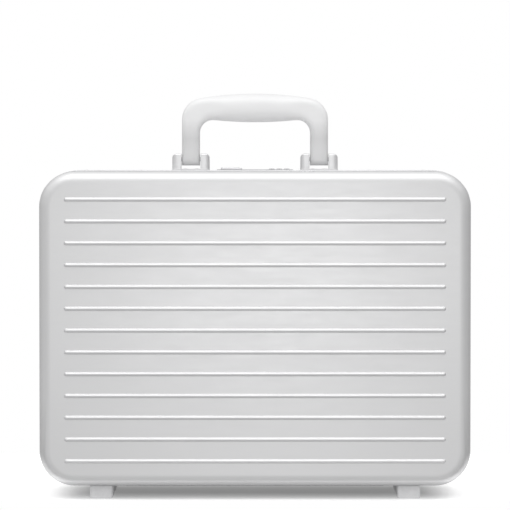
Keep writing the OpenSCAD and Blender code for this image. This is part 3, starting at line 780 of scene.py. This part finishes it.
def handle_piece():
    """The cast handle: a swept section, squarer in the legs and rounder in the grip."""
    half = handle_stations()
    rings = []
    for inner, outer in half:
        t = handle_half_thickness(inner, outer)
        rounder = smooth((abs(ARCH_X) - abs(inner[0])) / 30)
        rings.append(handle_ring(inner, outer, t, 3.4 - 1.4 * rounder))
    mirrored = [[(-x, y, z) for x, y, z in ring] for ring in reversed(rings[:-1])]
    piece = mesh_object("handle", *skin(rings + mirrored), 55)
    for s in (-1, 1):
        x = s * (ARCH_X + HANDLE_HALF_W) / 2
        cut(piece, *lathe([(2.05, -LEG_W), (2.05, LEG_W)], (x, HANDLE_Y, PIVOT_Z), (1, 0, 0), 28))
    piece.data.shade_smooth()
    piece.data.set_sharp_from_angle(angle=radians(50))
    return piece


# ---- brackets ----

EAR_R, EAR_W = 5.7, 9.2
EAR_TOP_R = 1.8
PLATE_T = 1.2
PIN_BORE_R = 2.02
BRACKET_RIVET_DX = 6  # rivets from the bracket's middle
BRACKET_RIVET_Y = (6, 16.5)


def ear_ring(x, inset, foot_z, steps=8):
    """An ear's outline in (y, z), a straight foot and a rounded top, moved inwards."""
    r = max(EAR_TOP_R - inset, 0.3)
    half, top = EAR_R - inset, PIVOT_Z + EAR_R - inset
    ring = [(x, HANDLE_Y - half, foot_z)]
    for sign, first in ((-1, 180), (1, 90)):
        for a in angles(steps, first, -90):
            ring.append((x, HANDLE_Y + sign * (half - r) + r * cos(a), top - r + r * sin(a)))
    return ring + [(x, HANDLE_Y + half, foot_z)]


def ear_shape(x_in, x_out, edge_in=0.5, edge_out=4.6):
    """One ear: a small radius towards the leg and a large one outside."""
    d = copysign(1, x_out - x_in)
    rings = []
    for a in angles(3):
        inset = edge_in * (1 - sin(a))
        rings.append(ear_ring(x_in + d * edge_in * (1 - cos(a)), inset, TOP_Z + 0.3))
    for a in angles(7):
        inset = edge_out * (1 - cos(a))
        rings.append(ear_ring(x_out - d * edge_out * (1 - sin(a)), inset, TOP_Z + 0.3))
    return skin(rings)


def bracket_piece(name, node):
    """A stepped plate with two ears, bored for the handle's pin."""
    middle, half = span(*box_mm(node))
    x_mid, x_half = middle.x, half.x
    plate_half = (x_half, half.y, PLATE_T / 2)
    plate = rounded_block((x_mid, middle.y, TOP_Z + PLATE_T / 2), plate_half, 2, 0.35)
    pad_y, pad_half_y = span(LIP_V + 0.05, middle.y + half.y)
    pad = rounded_block((x_mid, pad_y, TOP_Z - 0.4), (x_half, pad_half_y, 0.6), 0.4, 0.1)
    parts = [plate, pad]
    for e in (-1, 1):
        outer = x_mid + e * x_half
        parts.append(ear_shape(outer - e * EAR_W, outer))
    piece = joined_object(name, parts, 40)
    bore = [(PIN_BORE_R, -x_half - 2), (PIN_BORE_R, x_half + 2)]
    cut(piece, *lathe(bore, (x_mid, HANDLE_Y, PIVOT_Z), (1, 0, 0), 28))
    return piece


def bracket_rivet_heads():
    """Domed rivets on the bracket plates, with tails under the inside plates."""
    parts = []
    for node in ("handle_bracket_left", "handle_bracket_right"):
        middle, _ = span(*box_mm(node))
        for dx in (-BRACKET_RIVET_DX, BRACKET_RIVET_DX):
            for y in BRACKET_RIVET_Y:
                x = middle.x + dx
                parts.append(dome((x, y, TOP_Z + PLATE_T), (0, 0, 1), 2.2, 0.45, 0.3))
                parts.append(dome((x, y, TOP_Z - LEG_U - LEG_T), (0, 0, -1), 2.2, 0.6, 0.3))
    return joined_object("bracket_rivet_heads", parts)


# ---- lock ----

STEM_X = -23.75  # middle of the slide's stem


def slider_piece():
    """The thumb slide: a low base, a raised pad with grip lines, and its stem."""
    lo, hi = box_mm("lock_slider")
    middle, half = span(lo, hi)
    y, half_y = middle.y, half.y
    base_z = TOP_Z + 0.8
    base, base_half = (middle.x, y, base_z + 0.6), (half.x, half_y, 0.6)
    pad_x = (lo.x + 0.4, hi.x - 2.8)
    pad_y = (y - half_y + 0.6, y + half_y - 0.6)
    pad, pad_half = zip(span(*pad_x), span(*pad_y), span(base_z + 1, hi.z))
    stem = (STEM_X, y, (lo.z + base_z + 0.4) / 2)
    parts = [rounded_block(base, base_half, 1.6, 0.35), rounded_block(pad, pad_half, 1.4, 0.4)]
    lines = 7
    for k in range(lines):
        x = pad_x[0] + (pad_x[1] - pad_x[0]) * (k + 1.5) / (lines + 2)
        parts.append(rounded_block((x, y, hi.z), (0.35, half_y - 1.8, 0.22), 0.3, 0.15, 3, 2))
    parts.append(rounded_block(stem, (3.2, 2, (base_z + 0.4 - lo.z) / 2), 0.4, 0.1))
    return joined_object("thumb_slide", parts, 40)


def on_dial(centre, along, a, reach):
    """A point at an angle and a distance from a dial's axis."""
    return centre[0] + along, centre[1] + reach * sin(a), centre[2] + reach * cos(a)


def dial_shape(centre, r, half_w, flats=10):
    """A number dial: ten shallow finger hollows between the numbers and broken edges."""
    rings = []
    steps = 120
    edge = 0.5
    edge_side = [(2.4, half_w), (edge, half_w), (edge * 0.3, half_w - edge * 0.3), (0, half_w - edge)]
    profile = [(inset, -along) for inset, along in edge_side] + edge_side[::-1]
    for inset, along in profile:
        ring = []
        for i in range(steps):
            a = 2 * pi * i / steps
            hollow = 0.28 * max(0.0, cos(flats * a + pi)) ** 3
            reach = r - inset - (hollow if inset < 1 else 0)
            ring.append(on_dial(centre, along, a, reach))
        rings.append(ring)
    bore = 1.55
    for along in (half_w, -half_w):
        rings.append([on_dial(centre, along, 2 * pi * i / steps, bore) for i in range(steps)])
    return skin(rings, loop=True)


def dial_digits(name, centre, r, height=2.6):
    """The figures 0 to 9, raised a hair from the dial's rim and bent round it."""
    verts, faces = [], []
    for digit in range(10):
        curve = bpy.data.curves.new("figure", "FONT")
        curve.body = str(digit)
        curve.size = height
        curve.align_x = "CENTER"
        curve.extrude = 0.02
        curve.resolution_u = 3
        shape = new_object("figure", curve)
        bpy.context.view_layer.update()
        graph = bpy.context.evaluated_depsgraph_get()
        mesh = bpy.data.meshes.new_from_object(shape.evaluated_get(graph))
        start = len(verts)
        turn = 2 * pi * digit / 10
        for v in mesh.vertices:
            a = turn + (v.co.y - height * 0.35) / r
            verts.append(on_dial(centre, v.co.x, a, r + v.co.z))
        faces += [tuple(start + i for i in p.vertices) for p in mesh.polygons]
        bpy.data.objects.remove(shape)
        bpy.data.curves.remove(curve)
    return mesh_object(name, verts, faces)


# ---- inside ----

LINING_U = (2.45, 4.35)
LINING_FLOOR_V = 64.1
LINING_START = 14.3
LINING_FILLET = 8


def puckered(ring, amount, seed):
    """Moves a ring's points a little, as cloth glued over board does."""
    out = []
    for p in ring:
        q = Vector(p)
        out.append(q + noise.noise_vector(q * 0.06 + Vector((seed, 0, 0))) * amount)
    return out


def lining_piece(name, side, seed):
    """A glued cloth tray: a rolled hem under the frame, side walls and a floor."""
    hem_u, hem_half = span(*LINING_U)
    hem_v = LINING_START + 1.2
    rings = [outline_ring(LINING_U[0], hem_v, side)]
    for a in angles(6, turn=180):
        rings.append(outline_ring(hem_u - cos(a) * hem_half, hem_v - 1.1 * sin(a), side))
    for k in range(1, 8):
        v = hem_v + (LINING_FLOOR_V - LINING_FILLET - hem_v) * k / 7
        rings.append(puckered(outline_ring(LINING_U[1], v, side), 0.25, seed))
    for a in angles(6)[1:]:
        u = LINING_U[1] + LINING_FILLET * (1 - cos(a))
        v = LINING_FLOOR_V - LINING_FILLET * (1 - sin(a))
        rings.append(puckered(outline_ring(u, v, side), 0.2, seed))
    rings.append(outline_ring(30, LINING_FLOOR_V, side))
    verts, faces = skin(rings, caps=False)
    count = len(rings[0])
    faces.append(tuple(len(verts) - count + i for i in range(count)))
    return thicken(mesh_object(name, verts, faces, 70), 0.9, 1)


def grid_sheet(x, z, y, columns, rows):
    """A flat upright grid of points between two corners."""
    verts = [(x[0] + (x[1] - x[0]) * i / columns, y, z[0] + (z[1] - z[0]) * j / rows)
             for i in range(columns + 1) for j in range(rows + 1)]
    return verts, grid_faces(columns + 1, rows + 1)


def cloth_run(piece, held, limit, frames, **settings):
    """Runs the cloth solver on a piece with its held points fixed, and keeps the shape it takes."""
    rest = [v.co.copy() for v in piece.data.vertices]
    group = piece.vertex_groups.new(name="held")
    group.add([i for i, co in enumerate(rest) if held(co / MM)], 1.0, "REPLACE")
    cloth = piece.modifiers.new("cloth", "CLOTH")
    cloth.settings.quality = 6
    cloth.settings.effector_weights.gravity = 0
    cloth.settings.vertex_group_mass = "held"
    cloth.settings.use_pressure = True
    for key, value in settings.items():
        setattr(cloth.settings, key, value)
    for step in range(1, frames + 1):
        bpy.context.scene.frame_set(step)
    apply_modifiers(piece)
    bpy.context.scene.frame_set(1)
    piece.vertex_groups.clear()
    for v, start in zip(piece.data.vertices, rest):
        move = v.co - start
        if move.length > limit * MM:
            v.co = start + move.normalized() * limit * MM
    return piece


def smoothed(piece):
    """Subdivides a piece once, which rounds its facets."""
    modify(piece, "SUBSURF", levels=1, render_levels=1)
    piece.data.shade_smooth()
    return piece


QUILT_X, QUILT_Z = (-186, 186), (MID_Z - 133, MID_Z + 133)
QUILT_PITCH = 62
QUILT_RISE, FOLIO_RISE = 2.4, 2.5  # how far foam may lift the cloth
SETTLE_FRAMES = 16


def on_quilt_seam(p):
    """Whether a point of the quilted panel is sewn down: along its edge or a diamond seam."""
    edge = min(p.x - QUILT_X[0], QUILT_X[1] - p.x, p.z - QUILT_Z[0], QUILT_Z[1] - p.z)
    rising = abs((p.x + p.z - MID_Z) / QUILT_PITCH % 1 - 0.5)
    falling = abs((p.x - p.z + MID_Z) / QUILT_PITCH % 1 - 0.5)
    return edge < 3 or rising > 0.47 or falling > 0.47


def quilted_panel(name):
    """The padded panel on the base's floor: foam under cloth, sewn down in diamonds."""
    columns = round((QUILT_X[1] - QUILT_X[0]) / 3.1)
    rows = round((QUILT_Z[1] - QUILT_Z[0]) / 3.1)
    piece = mesh_object(name, *grid_sheet(QUILT_X, QUILT_Z, LINING_FLOOR_V - 0.9, columns, rows), 80)
    if piece.data.polygons[0].normal.y > 0:
        piece.data.flip_normals()
    cloth_run(piece, on_quilt_seam, QUILT_RISE, SETTLE_FRAMES, uniform_pressure_force=5, mass=0.3,
              bending_stiffness=0.1, tension_stiffness=6, compression_stiffness=6, shrink_min=-0.03)
    return smoothed(thicken(piece, 0.8))


FOLIO_X, FOLIO_Z, FOLIO_Y = (-165, 165), (60, 262), (-63.9, -54)
FOLIO_CELL = 3.2  # size of its even mesh


def on_folio_back(p):
    """Whether a point of the folder lies on the lid's floor and is held there."""
    return p.y < FOLIO_Y[0] + 2.5


def folio_piece(name):
    """A padded leather document folder on the lid's floor, swelled by its foam."""
    centre, half = zip(span(*FOLIO_X), span(*FOLIO_Y), span(*FOLIO_Z))
    verts, faces = rounded_block((0, 0, 0), (half[0] - 1, half[2] - 1, half[1] - 1.5), 12, 2.5, 8, 3)
    verts = [(x + centre[0], z + centre[1] - 1, y + centre[2]) for x, y, z in verts]
    piece = mesh_object(name, verts, faces, 80)
    modify(piece, "REMESH", mode="VOXEL", voxel_size=FOLIO_CELL * MM)
    cloth_run(piece, on_folio_back, FOLIO_RISE, SETTLE_FRAMES, uniform_pressure_force=4, mass=0.4,
              bending_stiffness=0.5, tension_stiffness=20, compression_stiffness=20)
    return smoothed(piece)


def face_y(piece, x, z):
    """The height of a lid piece's inner face over a point of the lid's floor."""
    start = -20
    found, place, _, _ = piece.ray_cast(Vector((x, start, z)) * MM, Vector((0, -1, 0)))
    return place.y / MM if found else start


def slip_piece(x, z, y_back, thickness, bow):
    """A leather slip with a turned, slightly bowed upper edge and a thumb notch in the middle."""
    columns, rows = 36, 14
    middle, half = span(*x)
    front, back = [], []
    for i in range(columns + 1):
        px = x[0] + (x[1] - x[0]) * i / columns
        notch = 7 * max(0.0, 1 - ((px - middle) / 13) ** 2) ** 0.5
        for j in range(rows + 1):
            share = j / rows
            pz = z[0] + (z[1] - notch - z[0]) * share
            lift = bow * share ** 3 * (1 - ((px - middle) / half) ** 2)
            back.append((px, y_back + lift, pz))
            turned = 0.35 if share > 0.93 else 0.0
            front.append((px, y_back + thickness + lift + turned, pz))
    off = len(back)
    faces = []
    for a, b, c, d in grid_faces(columns + 1, rows + 1):
        faces += [(a, d, c, b), (off + a, off + b, off + c, off + d)]
    loop = [i * (rows + 1) + j for i, j in grid_border(columns + 1, rows + 1)]
    for a, b in zip(loop, loop[1:] + loop[:1]):
        faces.append((a, b, off + b, off + a))
    return back + front, faces


def thicken(piece, thickness, offset=-1):
    """Gives a sheet its thickness."""
    modify(piece, "SOLIDIFY", thickness=thickness * MM, offset=offset)
    piece.data.shade_smooth()
    return piece


def stitches(name, corners, piece, gap, pitch=4.0, length=2.6, r=0.28):
    """Rows of stitches along straight runs between corners in (x, z), a gap above a piece."""
    parts = []
    for (x0, z0), (x1, z1) in zip(corners, corners[1:]):
        run = hypot(x1 - x0, z1 - z0)
        d = Vector(((x1 - x0) / run, 0, (z1 - z0) / run))
        for k in range(int(run / pitch)):
            x, z = x0 + d.x * (k + 0.5) * pitch, z0 + d.z * (k + 0.5) * pitch
            profile = [(0.05, -length / 2), (r, -length / 3), (r, length / 3), (0.05, length / 2)]
            parts.append(lathe(profile, (x, face_y(piece, x, z) + gap, z), d, 6))
    return joined_object(name, parts)


def rectangle_path(x, z):
    """The corners of a rectangle, back to the first one."""
    return [(x[0], z[0]), (x[1], z[0]), (x[1], z[1]), (x[0], z[1]), (x[0], z[0])]


def pen_loop_shape(x, z, y_back, depth, half_w, wall=0.9):
    """An elastic loop: a band bent round a pen, both ends sewn to the panel."""
    rings = []
    r = half_w
    path = [(x - r - 4, y_back), (x - r - 1, y_back)]
    for a in angles(12, turn=180):
        path.append((x - r * cos(a), y_back + depth * sin(a) ** 0.8))
    path += [(x + r + 1, y_back), (x + r + 4, y_back)]
    for px, py in path:
        rings.append([(px, py, z[0]), (px, py + wall, z[0]), (px, py + wall, z[1]), (px, py, z[1])])
    return skin(rings)


# ---- the pieces ----

SIDES = ("left", "right")
WINDOW = block_shape((-37.8, 37.8), (3.8, 19), (TOP_Z - 8, TOP_Z + 4))  # the lock sits in it

base_shell = cut(shell_piece("base_pressing", 1), *WINDOW)
finish_piece(base_shell, "base", SHELL, ["base_shell"])
finish_piece(shell_piece("lid_pressing", -1), "lid", SHELL, ["lid_shell"])

base_rim = cut(swept("base_rim", frame_section(True), 1), *WINDOW)
finish_piece(base_rim, "base", FRAME, ["base_frame"])
finish_piece(swept("lid_rim", frame_section(False), -1), "lid", FRAME, ["lid_frame"])
finish_piece(swept("rim_seal", seal_section(), 1, 60), "base", SEAL, ["frame_seal"])
finish_piece(frame_rivets("base_rivet_heads", 1), "base", RIVET, ["base_frame_rivets"])
finish_piece(frame_rivets("lid_rivet_heads", -1), "lid", RIVET, ["lid_frame_rivets"])

for body in ("base", "lid"):
    for side in SIDES:
        node = f"{body}_foot_{side}"
        finish_piece(foot_piece(f"{node}_moulding", node), body, FEET, [node])

finish_piece(handle_piece(), "handle", HANDLE, ["handle_grip"])
for node in ("handle_bracket_left", "handle_bracket_right"):
    finish_piece(bracket_piece(f"{node}_casting", node), "base", BRACKET, [node])
finish_piece(bracket_rivet_heads(), "base", RIVET, ["bracket_rivets"])

finish_piece(slider_piece(), "latch", SLIDER, ["lock_slider"])
for node in ("dial_1", "dial_2", "dial_3"):
    centre, half = span(*box_mm(node))
    wheel = mesh_object(f"{node}_wheel", *dial_shape(centre, half.z, half.x), 40)
    finish_piece(wheel, node, DIAL, [node])
    finish_piece(dial_digits(f"{node}_figures", centre, half.z), node, DIAL_INK)

for body, side, seed in (("base", 1, 3), ("lid", -1, 11)):
    lining = lining_piece(f"{body}_lining_cloth", side, seed)
    finish_piece(lining, body, LINING, [f"{body}_lining"])

quilt = finish_piece(quilted_panel("base_quilted_panel"), "base", LINING)

folio = finish_piece(folio_piece("lid_folio_cover"), "lid", LEATHER, ["lid_folio"])
folio_edge = rectangle_path((FOLIO_X[0] + 6, FOLIO_X[1] - 6), (FOLIO_Z[0] + 6, FOLIO_Z[1] - 6))
finish_piece(stitches("folio_stitching", folio_edge, folio, 0.12), "lid", THREAD)

POCKET_X, POCKET_Z, POCKET_Y = (-150, -40), (110, 240), -53.8
SLIP_TOPS = (240, 212, 184)
PEN_X, PEN_Z = (70, 90, 110), (170, 200)
slips = []
for k, top in enumerate(SLIP_TOPS):
    slips.append(slip_piece(POCKET_X, (POCKET_Z[0], top), POCKET_Y - 0.4 + 0.9 * k, 0.8, 0.7))
pockets = joined_object("card_slips", slips, 50)
finish_piece(pockets, "lid", LEATHER, ["card_pockets"])
seam_top = SLIP_TOPS[-1] - 3
pocket_seam = [(POCKET_X[0] + 3, seam_top), (POCKET_X[0] + 3, POCKET_Z[0] + 3)]
pocket_seam += [(POCKET_X[1] - 3, POCKET_Z[0] + 3), (POCKET_X[1] - 3, seam_top)]
finish_piece(stitches("pocket_stitching", pocket_seam, pockets, 0.1), "lid", THREAD)

loops = [pen_loop_shape(x, PEN_Z, POCKET_Y - 0.3, 8.8, 6.6) for x in PEN_X]
elastics = joined_object("pen_elastics", loops, 40)
finish_piece(elastics, "lid", LOOPS, ["pen_loops"])

# CAD nodes that keep their shape
CAD_FINISH = {"lock_plate": PLATE, "lock_housing": DARK_STEEL,
              "hinge_base_leaf": HINGE_PAINTED_SHADE, "hinge_lid_leaf": HINGE_PAINTED_SHADE}
STEEL_NODES = ["hinge_pin", "hinge_base_screws", "hinge_lid_screws", "bracket_backing_plates",
               "dial_shaft", "base_foot_screws", "lid_foot_screws", "lock_keepers", "latch_bar"]
PAIRS = ("handle_pin", "stay_base_pivot", "stay_lid_pivot", "stay_base_arm", "stay_lid_arm", "stay_stud")
for kind in PAIRS:
    STEEL_NODES += [f"{kind}_{side}" for side in SIDES]
for node in STEEL_NODES:
    CAD_FINISH[node] = STEEL
for node, material in CAD_FINISH.items():
    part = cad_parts[node]
    part.data.materials.clear()
    part.data.materials.append(material)

# ---- floor, light and camera ----

# a light table shines from below as painted light: weakly under the case, painting its shadow, and more
# strongly around the case
PAINTED_GLOW_UNDER_CASE, PAINTED_GLOW_AROUND_CASE = 0.196, 0.37
# its colour: a painted shadow tone under the case, and its own paint around it
PAINTED_SHADOW_TONE, RIM_TONE = (0.3, 0.3, 0.3), (0.94, 0.94, 0.94)
TABLE_X, TABLE_Y = (-330, 330), (-73, 420)
# the painted shadow under the case: its middle, its half width and how wide the glow's rise is, in metres
PAINTED_SHADOW_X = (0.0, 0.163, 0.04)
PAINTED_SHADOW_Y = (0.05, 0.05, 0.083)


def floor_plane(x, y):
    """A pale light table that the case stands on, with a painted shadow under the case and a painted glow
    around it.
    """
    corners = [(x[0], y[0], 0), (x[1], y[0], 0), (x[1], y[1], 0), (x[0], y[1], 0)]
    plane = mesh_object("floor", corners, [(0, 1, 2, 3)])
    n = Nodes("floor_painted_shadow")
    place = n.split(n.place)
    outside = []
    for name, (middle, half, rise) in (("X", PAINTED_SHADOW_X), ("Y", PAINTED_SHADOW_Y)):
        off_middle = n.maths("ABSOLUTE", n.maths("SUBTRACT", place[name], middle))
        beyond = n.maths("DIVIDE", n.maths("SUBTRACT", off_middle, half), rise)
        outside.append(n.maths("POWER", n.maths("MAXIMUM", beyond, 0.0), 2.0))
    # away: how far a point lies beyond the painted shadow
    away = n.maths("SQRT", n.maths("ADD", *outside))
    n.set(Base_Color=n.ramp(away, PAINTED_SHADOW_TONE, RIM_TONE), Roughness=0.75,
          Emission_Color=(1.0, 1.0, 1.0),
          Emission_Strength=n.ramp(away, PAINTED_GLOW_UNDER_CASE, PAINTED_GLOW_AROUND_CASE))
    plane.data.materials.append(n.material)


# brightness of the room by height of the direction, from straight down to straight up
ROOM_BY_HEIGHT = ((-1.0, 0.6), (-0.2, 0.56), (0.0, 0.62), (0.35, 0.76), (0.7, 1.04), (1.0, 1.25))
# and a factor by how far the direction points left or right
ROOM_BY_SIDE = ((-1.0, 0.96), (-0.5, 0.97), (0.0, 1.0), (0.5, 0.92), (1.0, 0.78))
# and a factor by how far it points to the front (-1) or the back
ROOM_BY_DEPTH = ((-1.0, 1.0), (0.0, 1.0), (0.4, 0.85), (1.0, 0.75))


def studio_world():
    """A white room: bright overhead, grey in front, darker at the sides; the camera sees white."""
    world = bpy.data.worlds.new("studio")
    bpy.context.scene.world = world
    world.use_nodes = True
    t = Tree(world.node_tree)
    t.tree.nodes.clear()
    way = t.split(t.add("ShaderNodeTexCoord").outputs["Generated"])
    light = t.grey_ramp(way["Z"], ROOM_BY_HEIGHT)
    for axis, stops in (("X", ROOM_BY_SIDE), ("Y", ROOM_BY_DEPTH)):
        product = t.add("ShaderNodeVectorMath", operation="MULTIPLY")
        t.link(light, product.inputs[0])
        t.link(t.grey_ramp(way[axis], stops), product.inputs[1])
        light = product.outputs[0]
    lit = t.add("ShaderNodeBackground")
    t.link(light, lit.inputs["Color"])
    seen = t.add("ShaderNodeBackground")
    seen.inputs["Color"].default_value = (1, 1, 1, 1)
    mix = t.add("ShaderNodeMixShader")
    t.link(t.add("ShaderNodeLightPath").outputs["Is Camera Ray"], mix.inputs[0])
    t.link(lit.outputs[0], mix.inputs[1])
    t.link(seen.outputs[0], mix.inputs[2])
    t.link(mix.outputs[0], t.add("ShaderNodeOutputWorld").inputs["Surface"])


def area_light(name, place, target, size, power):
    """A soft box that lights the case and stays out of the picture."""
    light = bpy.data.lights.new(name, "AREA")
    light.shape = "RECTANGLE"
    light.size, light.size_y = size
    light.energy = power
    lamp = new_object(name, light)
    lamp.location = place
    lamp.rotation_euler = (Vector(target) - Vector(place)).to_track_quat("-Z", "Y").to_euler()
    lamp.visible_camera = False


CAMERA_Y, CAMERA_HEIGHT = -3.3, 0.345  # metres
CAMERA_TILT = 1.815  # degrees downwards
CAMERA_LENS = 231


def studio_camera():
    """A long lens a little above the case's top, tipped down slightly."""
    camera = bpy.data.cameras.new("camera")
    camera.sensor_width = 36
    camera.lens = CAMERA_LENS
    camera.clip_end = 50
    view = new_object("camera", camera)
    view.location = (0, CAMERA_Y, CAMERA_HEIGHT)
    view.rotation_euler = (radians(90 - CAMERA_TILT), 0, 0)
    bpy.context.scene.camera = view


floor_plane(TABLE_X, TABLE_Y)
studio_world()
area_light("front", (0.02, -0.75, 0.23), (0, 0, 0.22), (0.25, 0.25), 0.42)
area_light("overhead", (0, -0.7, 1.7), (0, -0.05, 0), (1.6, 0.8), 4.6)
studio_camera()
scene = bpy.context.scene
scene.view_settings.view_transform = "Standard"
scene.view_settings.look = "None"

bpy.context.view_layer.update()
